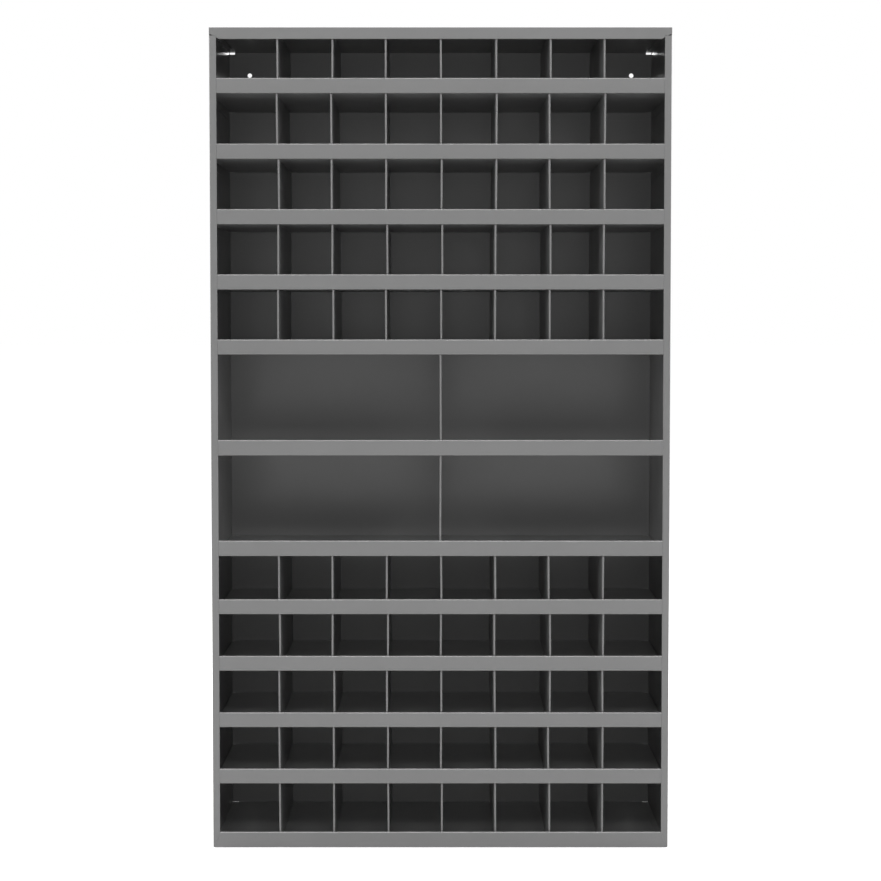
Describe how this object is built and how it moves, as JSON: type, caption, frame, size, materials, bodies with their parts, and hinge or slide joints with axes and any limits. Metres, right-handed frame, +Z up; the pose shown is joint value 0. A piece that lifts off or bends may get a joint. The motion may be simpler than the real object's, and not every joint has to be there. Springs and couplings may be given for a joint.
{
  "type": "steel pigeonhole unit",
  "caption": "Free-standing open-front pigeonhole unit of folded, painted sheet steel, with lipped shelves and upright dividers that make rows of small bins and larger open bays.",
  "frame": {"origin": "centre of the underside, on the floor", "axes": "+Z up, X across the width, the open front faces -Y and the back faces +Y"},
  "size_m": [0.9144, 0.3048, 1.6383],
  "materials": {
    "grey_paint": "neutral mid-grey semi-gloss powder coat"
  },
  "bodies": {
    "root": {"left_side_panel": "grey_paint", "right_side_panel": "grey_paint", "top_panel": "grey_paint", "base_panel": "grey_paint", "back_panel": "grey_paint", "shelf_01": "grey_paint", "shelf_02": "grey_paint", "shelf_03": "grey_paint", "shelf_04": "grey_paint", "shelf_05": "grey_paint", "shelf_06": "grey_paint", "shelf_07": "grey_paint", "divided_shelf_08": "grey_paint", "divided_shelf_09": "grey_paint", "divided_shelf_10": "grey_paint", "divided_shelf_11": "grey_paint", "divider_row_01_1": "grey_paint", "divider_row_01_2": "grey_paint", "divider_row_01_3": "grey_paint", "divider_row_01_4": "grey_paint", "divider_row_01_5": "grey_paint", "divider_row_01_6": "grey_paint", "divider_row_01_7": "grey_paint", "divider_row_02_1": "grey_paint", "divider_row_02_2": "grey_paint", "divider_row_02_3": "grey_paint", "divider_row_02_4": "grey_paint", "divider_row_02_5": "grey_paint", "divider_row_02_6": "grey_paint", "divider_row_02_7": "grey_paint", "divider_row_03_1": "grey_paint", "divider_row_03_2": "grey_paint", "divider_row_03_3": "grey_paint", "divider_row_03_4": "grey_paint", "divider_row_03_5": "grey_paint", "divider_row_03_6": "grey_paint", "divider_row_03_7": "grey_paint", "divider_row_04_1": "grey_paint", "divider_row_04_2": "grey_paint", "divider_row_04_3": "grey_paint", "divider_row_04_4": "grey_paint", "divider_row_04_5": "grey_paint", "divider_row_04_6": "grey_paint", "divider_row_04_7": "grey_paint", "divider_row_05_1": "grey_paint", "divider_row_05_2": "grey_paint", "divider_row_05_3": "grey_paint", "divider_row_05_4": "grey_paint", "divider_row_05_5": "grey_paint", "divider_row_05_6": "grey_paint", "divider_row_05_7": "grey_paint", "divider_row_12_1": "grey_paint", "divider_row_12_2": "grey_paint", "divider_row_12_3": "grey_paint", "divider_row_12_4": "grey_paint", "divider_row_12_5": "grey_paint", "divider_row_12_6": "grey_paint", "divider_row_12_7": "grey_paint", "divider_row_06_1": "grey_paint", "divider_row_07_1": "grey_paint"}
  },
  "joints": []
}
